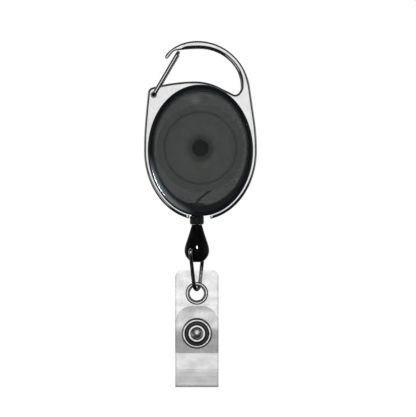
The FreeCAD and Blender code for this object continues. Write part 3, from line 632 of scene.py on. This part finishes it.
def wall_loops(node):
    """The closed outlines of a CAD plate's upright walls, seen from the front."""
    bm = bmesh.new()
    bm.from_mesh(NODES[node].data)
    bmesh.ops.remove_doubles(bm, verts=bm.verts, dist=2e-6)
    joined = {}
    for edge in bm.edges:
        walls = [abs(face.normal.y) < 0.02 for face in edge.link_faces]
        ends = [v.co for v in edge.verts]
        if sum(walls) == 1 and max(end.y for end in ends) < 0:
            keys = [(round(end.x, 6), round(end.z, 6)) for end in ends]
            if keys[0] != keys[1]:
                joined.setdefault(keys[0], set()).add(keys[1])
                joined.setdefault(keys[1], set()).add(keys[0])
    bm.free()
    loops = []
    while joined:
        here = min(joined)
        loop = []
        while here is not None:
            loop.append(here)
            following = joined.pop(here)
            here = next((k for k in sorted(following) if k in joined), None)
        loops.append([Vector(p) for p in loop])
    return sorted(loops, key=lambda loop: -abs(area(loop)))


def resampled(loop, spacing):
    """A closed loop at even spacing, its sharp corners kept."""
    lengths = [0.0]
    for one, other in zip(loop, loop[1:] + loop[:1]):
        lengths.append(lengths[-1] + (other - one).length)
    points = []
    sharp = []
    count = len(loop)
    for i, here in enumerate(loop):
        before = (here - loop[i - 1]).normalized()
        after = (loop[(i + 1) % count] - here).normalized()
        if before.dot(after) < math.cos(math.radians(35)):
            sharp.append(i)
    stops = [lengths[i] for i in sharp] or [0.0]
    stops.append(stops[0] + lengths[-1])
    for start, stop in zip(stops, stops[1:]):
        parts = max(1, round((stop - start) / spacing))
        for k in range(parts):
            at = (start + (stop - start) * k / parts) % lengths[-1]
            i = bisect.bisect_right(lengths, at) - 1
            run = lengths[i + 1] - lengths[i]
            points.append(loop[i].lerp(loop[(i + 1) % count], (at - lengths[i]) / run))
    return points


def ease(value, start, stop):
    t = min(max((value - start) / (stop - start), 0), 1)
    return t * t * (3 - 2 * t)


HOOK_FOOT = -14.5 * MM
NOSE_START, NOSE_STOP = -6.6 * MM, -3.6 * MM
EDGE, ARCH_EDGE, NOSE_EDGE, MOUTH_EDGE = 0.76 * MM, 1.90 * MM, 0.56 * MM, 0.06 * MM
FOOT_EDGE, PIVOT_EDGE = 1.0 * MM, 0.3 * MM


def frame_rounding(point, into):
    """The width and depth of the casting's rounded edge: widest under the arch of the hook."""
    across = (point.x - SHELL_CENTRE.x) / (SHELL_HALF.x + 0.2 * MM)
    up = (point.y - SHELL_CENTRE.z) / (SHELL_HALF.z + 0.2 * MM)
    if math.hypot(across, up) < 1:
        return MOUTH_EDGE, MOUTH_EDGE
    if math.hypot(point.x - GATE_PIVOT.x, point.y - GATE_PIVOT.z) < 1 * MM:
        return PIVOT_EDGE, PIVOT_EDGE
    past_nose = ease(point.x, NOSE_START, NOSE_STOP)
    on_hook = ease(point.y, HOOK_FOOT, HOOK_FOOT + 3 * MM)
    under = ease(into.y, -0.6, 0.45) * ease(-point.x, -13.5 * MM, -11 * MM) * on_hook * past_nose
    if into.y < 0 and into.x < 0:
        under = 0
    width = EDGE + (ARCH_EDGE - EDGE) * under
    width += (FOOT_EDGE - EDGE) * ease(point.y, SHELL_CENTRE.z - 4 * MM, SHELL_CENTRE.z - 17 * MM)
    near_nose = (1 - past_nose) * ease(point.y, -8 * MM, -6 * MM)
    width += (NOSE_EDGE - width) * near_nose
    return width, min(width, 0.9 * MM)


def within_room(rounding, loops):
    """The same rounding, held to its share of the room to the wall it faces, so that no two meet."""
    walls = [q for loop in loops for q in loop]

    def held(point, into):
        ahead = into.normalized()
        room = 9 * MM
        facing = None
        for wall in walls:
            away = wall - point
            reach = away.length
            if 1e-7 < reach < room and away.dot(ahead) > 0.8 * reach:
                room, facing = reach, wall
        width, depth = rounding(point, into)
        other = rounding(facing, -ahead)[0] if facing else width
        most = 0.92 * room * width / (width + other)
        return min(width, most), min(depth, most)
    return held


def make_frame():
    loops = [resampled(loop, 0.22 * MM) for loop in wall_loops("carabiner_frame")]
    bm = plate(loops, -FRAME_HALF, FRAME_HALF, within_room(frame_rounding, loops), steps=6)
    mesh = finish_mesh(bm, "carabiner", crease=35)
    new_object("carabiner", mesh, CHROME, "housing", "chrome_casting", "carabiner_frame")


# ---- strap ----

GAP = 0.02 * MM
PLY_EDGE = 0.16 * MM
VINYL_STEP = 0.55 * MM


def ply_rounding(flat_levels):
    """Rounded edges, but square where the ply meets the next stretch at one of flat_levels."""
    def rounding(point, into):
        if any(abs(point.y - level) < 0.02 * MM for level in flat_levels):
            return 0.0, 0.0
        return PLY_EDGE, PLY_EDGE
    return rounding


def make_ply(name, node, foot_radius, top_radius=2 * MM):
    low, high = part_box(node)
    box_low = Vector((low.x, low.z if foot_radius else FOLD_Z))
    outline = rounded_box(box_low, Vector((high.x, high.z)),
                          (foot_radius, foot_radius, top_radius, top_radius))
    holes = [circle(middle("eyelet").x, middle("eyelet").z, 2.5 * MM),
             circle(middle("snap_cap").x, middle("snap_cap").z, 1.3 * MM, 48)]
    flat_levels = [] if foot_radius else [FOLD_Z]
    bm = plate([even(outline, VINYL_STEP)] + holes, low.y + GAP, high.y - GAP,
               ply_rounding(flat_levels), VINYL_STEP, steps=3)
    mesh = finish_mesh(bm, name)
    new_object(name, mesh, VINYL, "strap", "clear_vinyl", node)


def strap_path(distance):
    """Point and outward normal (y, z) of the strap's middle, from the end of the main ply on."""
    arc = math.pi + FOLD_LEAN
    if distance <= arc * FOLD_RADIUS:
        turn = math.pi + distance / FOLD_RADIUS
        out = Vector((math.cos(turn), math.sin(turn)))
        return Vector((FOLD_Y, FOLD_Z)) + out * FOLD_RADIUS, out
    out = Vector((math.cos(FOLD_LEAN), math.sin(FOLD_LEAN)))
    along = Vector((-out.y, out.x))
    foot = Vector((FOLD_Y, FOLD_Z)) + out * FOLD_RADIUS
    tail_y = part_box("strap_tail")[0].y + PLY_THICK / 2
    straight = (foot.x - tail_y - TAIL_BEND * (1 - out.x)) / out.y
    rest = distance - arc * FOLD_RADIUS
    if rest <= straight:
        return foot + along * rest, out
    knee = foot + along * straight
    rest -= straight
    if rest <= TAIL_BEND * FOLD_LEAN:
        turn = FOLD_LEAN - rest / TAIL_BEND
        normal = Vector((math.cos(turn), math.sin(turn)))
        return knee + out * TAIL_BEND - normal * TAIL_BEND, normal
    top = knee + out * TAIL_BEND - Vector((TAIL_BEND, 0))
    return top + Vector((0, rest - TAIL_BEND * FOLD_LEAN)), Vector((1, 0))


def strap_length():
    """Where along the path the tail's end is."""
    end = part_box("strap_tail")[1].z
    low, high = 0.0, 60 * MM
    for _ in range(40):
        guess = (low + high) / 2
        if guess > 12 * MM and strap_path(guess)[0].y > end:
            high = guess
        else:
            low = guess
    return low


def bend_along(bm):
    """Lays a flat plate, whose z is the distance along the strap, onto the strap's path."""
    for vert in bm.verts:
        place, normal = strap_path(vert.co.z)
        place = place + normal * vert.co.y
        vert.co = Vector((vert.co.x, place.x, place.y))


def make_fold_and_tail():
    arc = (math.pi + FOLD_LEAN) * FOLD_RADIUS
    end = strap_length()
    left, right = HANG_X - STRAP_HALF, HANG_X + STRAP_HALF
    half_thick = PLY_THICK / 2 - GAP
    flat = rounded_box(Vector((left, 0)), Vector((right, arc)), (0, 0, 0, 0))
    bm = plate([even(flat, VINYL_STEP)], -half_thick, half_thick, ply_rounding((0, arc)),
               VINYL_STEP, steps=3)
    bend_along(bm)
    fold = new_object("badge_loop_fold", finish_mesh(bm, "badge_loop_fold"), FOLD_VINYL, None,
                      "clear_vinyl", "strap_fold")
    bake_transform(fold)
    flat = rounded_box(Vector((left, arc)), Vector((right, end)), (0, 0, TAIL_CORNER, TAIL_CORNER))
    snap_at = end - (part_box("strap_tail")[1].z - middle("snap_cap").z)
    hole = circle(HANG_X, snap_at, 0.8 * MM, 32)
    bm = plate([even(flat, VINYL_STEP), hole], -half_thick, half_thick, ply_rounding((arc,)),
               VINYL_STEP, steps=3)
    bend_along(bm)
    new_object("strap_flap", finish_mesh(bm, "strap_flap"), TAIL_VINYL, "tail", "clear_vinyl",
               "strap_tail")


# ---- turned pieces ----

def make_fittings():
    """Eyelet, washer, snap and its studs, each turned about the strap's fittings."""
    eyelet = Vector((HANG_X, 0, middle("eyelet").z))
    snap = Vector((HANG_X, 0, middle("snap_cap").z))
    front, rear = -PLY_THICK / MM, PLY_THICK / MM
    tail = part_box("strap_tail")[0].y / MM
    back = tail + rear
    rim, snap_rim = EYELET_RIM, SNAP_RIM
    new_object("eyelet_barrel", lathe("eyelet_barrel", [
        (2.5, front + 0.02), (rim - 0.1, front), (rim, front - 0.12), (rim - 0.06, front - 0.3),
        (rim - 0.36, front - 0.5), (2.78, front - 0.51), (2.63, front - 0.26), (2.54, front - 0.34),
        (2.44, front - 0.32), (2.31, front - 0.19), (2.11, front + 0.15), (2.11, rear - 0.15),
        (2.31, rear + 0.18), (2.6, rear + 0.40), (2.85, rear + 0.46), (3.0, rear + 0.36),
        (2.9, rear + 0.23), (2.5, rear + 0.22),
    ], eyelet, "y", reach=0.05), EYELET_NICKEL, "strap", "nickel_plate", "eyelet")
    new_object("eyelet_ring", lathe("eyelet_ring", [
        (2.52, rear + 0.01), (rim - 0.15, rear + 0.01), (rim - 0.05, rear + 0.1),
        (rim - 0.15, rear + 0.2), (2.52, rear + 0.2),
    ], eyelet, "y", reach=0.08), EYELET_NICKEL, "strap", "nickel_plate", "eyelet_washer")
    new_object("snap_button", lathe("snap_button", [
        (0, front - 0.66), (0.3, front - 0.64), (1.15, front - 0.48), (1.45, front - 0.30),
        (1.86, front - 0.70), (1.98, front - 0.77), (2.54, front - 0.75), (2.78, front - 0.3),
        (3.5, front - 0.22), (3.72, front - 0.8), (3.78, front - 0.9), (4.25, front - 0.87),
        (snap_rim - 0.08, front - 0.5), (snap_rim, front - 0.2), (snap_rim - 0.2, front),
        (1.3, front), (1.3, rear + 0.25), (0, rear + 0.25),
    ], snap, "y", reach=0.1), SNAP_NICKEL, "strap", "nickel_plate", "snap_cap")
    new_object("snap_cup", lathe("snap_cup", [
        (1.32, rear + 0.01), (4.3, rear + 0.01), (4.4, rear + 0.4), (3.9, rear + 1.35),
        (3.4, rear + 1.6), (2.3, rear + 1.6), (2.05, rear + 1.35), (2.05, rear + 0.3),
        (1.32, rear + 0.3),
    ], snap, "y", reach=0.25), SNAP_NICKEL, "strap", "nickel_plate", "snap_socket")
    new_object("snap_ring_spring", lathe("snap_ring_spring", [
        (1.7, rear + 0.95), (1.78, rear + 0.82), (1.95, rear + 0.82), (2.03, rear + 0.95),
        (1.95, rear + 1.08), (1.78, rear + 1.08),
    ], snap, "y", reach=0.06), SPRING, "strap", "spring_steel", "socket_spring")
    new_object("snap_stud_pin", lathe("snap_stud_pin", [
        (0, rear + 0.5), (1.1, rear + 0.5), (1.5, rear + 0.75), (1.5, rear + 1.05),
        (1.25, tail - 0.7), (1.3, tail - 0.35), (3.4, tail - 0.35), (3.6, tail - 0.15),
        (3.6, tail), (0.8, tail), (0.8, rear + 1.0), (0, rear + 1.0),
    ], snap, "y", reach=0.12), SNAP_NICKEL, "tail", "nickel_plate", "snap_stud")
    new_object("snap_stud_cap", lathe("snap_stud_cap", [
        (0, rear + 1.05), (0.78, rear + 1.05), (0.78, back), (4.3, back), (4.6, back + 0.25),
        (4.4, back + 0.65), (3.7, back + 0.9), (2.6, back + 0.8), (1.2, back + 0.62),
        (0, back + 0.58),
    ], snap, "y", reach=0.3), SNAP_NICKEL, "tail", "nickel_plate", "stud_cap")


def make_drop():
    """The teardrop moulding, with a flared mouth at each end of the wire's cross hole."""
    low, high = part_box("cord_drop")
    top, bottom = high.z / MM + 0.07, low.z / MM
    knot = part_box("cord_knot")[1].z / MM + 0.15
    wide = half("cord_drop").x / MM
    axis = Vector((HANG_X, 0, 0))
    blank = lathe("drop_body", [
        (0.55, knot), (0.55, top - 0.3), (1.54, top), (1.56, top - 0.03), (1.82, top - 0.9),
        (2.2, top - 2.2), (2.85, top - 4.2), (3.5, top - 6.1), (wide, top - 7.7), (3.62, top - 9.2),
        (2.9, top - 10.3), (2.05, bottom + 0.25), (1.6, bottom), (1.2, bottom), (1.2, knot),
    ], axis, "z", reach=0.7, steps=6)
    drop = new_object("cord_end_drop", blank, BLACK, None, "black_plastic", "cord_drop")
    heading = Vector(joint("link_swing")["axis"]).normalized()
    mouth = [(0, -5.0), (2.2, -5.0), (1.25, -3.9), (0.9, -3.5), (0.76, -3.0), (0.76, 3.0),
             (0.9, 3.5), (1.25, 3.9), (2.2, 5.0), (0, 5.0)]
    cutter_mesh = lathe("cross_hole", mouth, Vector((0, 0, 0)), "z", reach=0.3, segments=40)
    turn = heading.to_track_quat("Z", "Y").to_matrix().to_4x4()
    cutter_mesh.transform(Matrix.Translation(LINK_PIVOT) @ turn)
    cutter = bpy.data.objects.new("cross_hole", cutter_mesh)
    bpy.context.scene.collection.objects.link(cutter)
    hole = drop.modifiers.new("cross_hole", "BOOLEAN")
    hole.object = cutter
    hole.solver = "EXACT"
    bpy.context.view_layer.update()
    cut = bpy.data.meshes.new_from_object(drop.evaluated_get(bpy.context.evaluated_depsgraph_get()))
    drop.modifiers.clear()
    drop.data = cut
    bpy.data.objects.remove(cutter)
    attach(drop, "drop")


def make_bush():
    """The black collar that the cord leaves by, its foot softly rounded."""
    low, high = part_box("outlet_bush")
    bottom, top = low.z / MM, high.z / MM
    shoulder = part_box("front_shell")[0].z / MM - 0.02
    ledge = top - 1.5
    new_object("cord_outlet", lathe("cord_outlet", [
        (0.62, bottom + 0.25), (0.9, bottom), (1.8, bottom), (2.15, bottom + 0.35), (2.15, shoulder),
        (1.7, shoulder), (1.7, ledge), (2.5, ledge), (2.5, top), (1.12, top), (0.62, top - 0.5),
    ], Vector((HANG_X, 0, 0)), "z", reach=0.2), BUSH_BLACK, "housing", "black_plastic", "outlet_bush")


# ---- cord ----

def strand_ripple(step, pitch):
    """A braid's outline: eight crowns round it that swap over along it."""
    def ripple(i, turn):
        return 1 + 0.07 * math.sin(4 * turn + step * i * TURN / pitch) * math.cos(
            4 * turn - step * i * TURN / pitch)
    return ripple


def make_cord():
    low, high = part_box("cord_end")
    radius = half("cord_end").x * 0.95
    step = 0.06 * MM
    count = round((high.z - low.z) / step)
    line = [Vector((HANG_X, 0, high.z + (low.z - high.z) * i / count)) for i in range(count + 1)]
    mesh = tube("cord_stretch", line, radius, 24, strand_ripple(step, 0.9 * MM))
    stretch = new_object("cord_stretch", mesh, NYLON, None, "nylon_cord", "cord_end")
    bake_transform(stretch)
    knot_low, knot_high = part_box("cord_knot")
    centre = (knot_low + knot_high) / 2
    scale = 0.21 * MM
    points = []
    for i in range(121):
        t = TURN * i / 120
        points.append(centre + Vector((
            math.sin(t) + 2 * math.sin(2 * t), math.cos(t) - 2 * math.cos(2 * t),
            -1.6 * math.sin(3 * t),
        )) * scale)
    new_object("stopper_knot", tube("stopper_knot", points, 0.3 * MM, 16), NYLON, "cord_tip",
               "nylon_cord", "cord_knot")
    wound = half("cord_winding").x / MM
    drum, cheek = 8.9, 1.8
    pitch, winds = 0.72, 5
    outline = [(drum, -cheek)]
    for i in range(winds):
        edge = -cheek + pitch * i
        outline += [(wound - 0.25, edge + 0.03), (wound, edge + 0.2), (wound, edge + 0.52),
                    (wound - 0.25, edge + 0.69)]
    outline.append((drum, cheek))
    wound_mesh = lathe("wound_cord", outline, Vector((REEL.x, 0, REEL.z)), "y", reach=0.1)
    new_object("wound_cord", wound_mesh, NYLON, "reel", "nylon_cord", "cord_winding")


# ---- CAD parts that keep their shape ----

CARRIED = {
    "gate_wire": GATE_STEEL, "wire_link": LINK_STEEL, "front_shell": FRONT_SMOKE,
    "rear_shell": REAR_SMOKE, "arbor": ARBOR_BLACK, "mainspring": SPRING, "spool": SPOOL_GREY,
    "spool_cover": SPOOL_GREY, "cord_run": NYLON,
}
ARBOR_INSET = 0.03 * MM


def dress_cad():
    """Materials for the carried pieces. The arbor is drawn in by a hair, because its ends meet
    the shells and the shared faces flicker."""
    for node, finish in CARRIED.items():
        NODES[node].data.materials.clear()
        NODES[node].data.materials.append(finish)
    inset = NODES["arbor"].modifiers.new("inset", "DISPLACE")
    inset.mid_level = 0
    inset.strength = -ARBOR_INSET


# ---- stage, light and camera ----

VIEW_Y, VIEW_WIDE = -0.6, 0.1269
VIEW_X, VIEW_Z = 0.00229, -0.0485
SENSOR = 36.0


def make_world():
    """White to the camera. Shiny surfaces see a soft light before and behind the object and dim
    sides, and everything else is lit by a plain gradient, brighter above and in front."""
    world = bpy.data.worlds.new("studio")
    bpy.context.scene.world = world
    world.use_nodes = True
    tree = Tree(world.node_tree)
    ray = tree.node("ShaderNodeTexCoord")
    split = tree.node("ShaderNodeSeparateXYZ", {0: ray})
    x, y, z = split.node.outputs

    def lobe(heading, inner, outer, strength):
        cosine = tree.vector("DOT_PRODUCT", ray, Vector(heading).normalized(), output=1)
        return tree.smooth(cosine, math.cos(math.radians(outer)), math.cos(math.radians(inner)),
                           0, strength)

    def total(values):
        result = values[0]
        for value in values[1:]:
            result = tree.math("ADD", result, value)
        return result

    above = tree.smooth(z, -0.55, -0.1)
    sides = tree.smooth(tree.math("ABSOLUTE", x), 0.80, 0.97, 0, 0.25)
    behind = tree.smooth(y, 0.40, 0.75, 0, 0.5)
    glossy = total([
        lobe((0, -1, 0), 12, 26, 0.30),
        lobe((0, 1, 0), 12, 26, 0.60),
        tree.math("MULTIPLY", above, tree.math("ADD", sides, behind)),
        tree.smooth(z, -1.0, 1.0, 0.01, 0.04),
    ])
    soft = total([tree.smooth(z, -1.0, 1.0, 0.30, 0.68), tree.smooth(y, 0.2, -1.0, 0.0, 0.22)])
    path = tree.node("ShaderNodeLightPath", output="Is Camera Ray")
    is_glossy = path.node.outputs["Is Glossy Ray"]
    level = tree.node("ShaderNodeMix", {0: is_glossy, 2: soft, 3: glossy})
    level = tree.node("ShaderNodeMix", {0: path, 2: level, 3: 1.0})
    background = world.node_tree.nodes["Background"]
    background.inputs["Color"].default_value = grey(1.0)
    world.node_tree.links.new(level, background.inputs["Strength"])
    world.cycles.sampling_method = "NONE"


def lamp(name, towards, heading, distance, radius, level, lit, colour=(1, 1, 1)):
    """A round lamp of that brightness, heading from the point it faces, that only adds gloss to lit."""
    light = bpy.data.lights.new(name, "AREA")
    light.shape = "DISK"
    light.size = 2 * radius
    light.color = colour
    light.energy = level * math.pi * math.pi * radius ** 2
    shown = bpy.data.objects.new(name, light)
    way = Vector(heading).normalized()
    shown.location = towards + way * distance
    shown.rotation_euler = way.to_track_quat("Z", "Y").to_euler()
    shown.visible_camera = False
    shown.visible_diffuse = False
    bpy.context.scene.collection.objects.link(shown)
    receivers = bpy.data.collections.new(name + "_lit")
    for piece in lit:
        receivers.objects.link(piece)
    shown.light_linking.receiver_collection = receivers


STREAK = (-0.84, -0.34, -0.42)
HIGH_FRONT = (0.03, -0.93, 0.37)
BLUISH = (0.80, 0.92, 1.0)


METALS = (CHROME, GATE_STEEL, LINK_STEEL, EYELET_NICKEL, SNAP_NICKEL)


def make_lamps():
    """Five lamps, each linked to only the pieces whose highlight it makes."""
    shells = [NODES["front_shell"], NODES["rear_shell"]]
    drop = bpy.data.objects["cord_end_drop"]
    metals = [piece for piece in bpy.data.objects if piece.type == "MESH" and piece.data.materials
              and piece.data.materials[0] in METALS]
    lamp("front_lamp", Vector((0, 0, SHELL_CENTRE.z)), (0, -1, 0), 0.75, 0.24, 0.72, metals)
    lamp("side_lamp", SHELL_CENTRE, (-0.64, -0.64, -0.42), 0.5, 0.12, 0.45, metals)
    lamp("streak_lamp", SHELL_CENTRE, STREAK, 0.3, 0.060, 110.0, shells, BLUISH)
    lamp("drop_lamp", middle("cord_drop"), HIGH_FRONT, 0.3, 0.032, 150.0, [drop])
    lamp("link_lamp", middle("wire_link"), HIGH_FRONT, 0.3, 0.022, 8.0, [NODES["wire_link"]])


FLOOR_HALF = 4.0
FLOOR_GAP = 0.03


def make_floor():
    """A plain pale floor, below the strap even with the cord pulled right out."""
    pulled_out = joint("cord_pull")["range_m"][1]
    level = CAD_BOUNDS[0][2] - pulled_out - FLOOR_GAP
    bm = bmesh.new()
    bmesh.ops.create_grid(bm, x_segments=24, y_segments=24, size=FLOOR_HALF)
    floor = bpy.data.objects.new("studio_floor", finish_mesh(bm, "studio_floor"))
    floor.location = (0, 0, level)
    bpy.context.scene.collection.objects.link(floor)
    tree, shader, where, made = material("floor_paper", Roughness=0.9, Emission_Strength=0.5)
    grain = tree.noise(where, 0.4, 4)
    link(tree, tree.mix(grain, grey(0.86), grey(0.92)), shader, "Base Color")
    shader.inputs["Emission Color"].default_value = grey(1.0)
    bump(tree, shader, grain, 0.1, 0.02)
    floor.data.materials.append(made)
    floor.visible_glossy = False


def make_camera():
    """A level view from the front, wide enough for the whole reel and its strap."""
    camera = bpy.data.cameras.new("camera")
    camera.sensor_width = SENSOR
    camera.lens = SENSOR * -VIEW_Y / VIEW_WIDE
    camera.clip_start = 0.01
    view = bpy.data.objects.new("camera", camera)
    view.location = (VIEW_X, VIEW_Y, VIEW_Z)
    view.rotation_euler = (math.pi / 2, 0, 0)
    bpy.context.scene.collection.objects.link(view)
    bpy.context.scene.camera = view


make_frame()
make_ply("front_ply", "strap_front_ply", 1.4 * MM)
make_ply("main_ply", "strap_main_ply", 0)
make_fold_and_tail()
make_fittings()
make_drop()
make_bush()
make_cord()
dress_cad()
make_world()
make_lamps()
make_floor()
make_camera()
bpy.context.scene.view_settings.view_transform = "Standard"
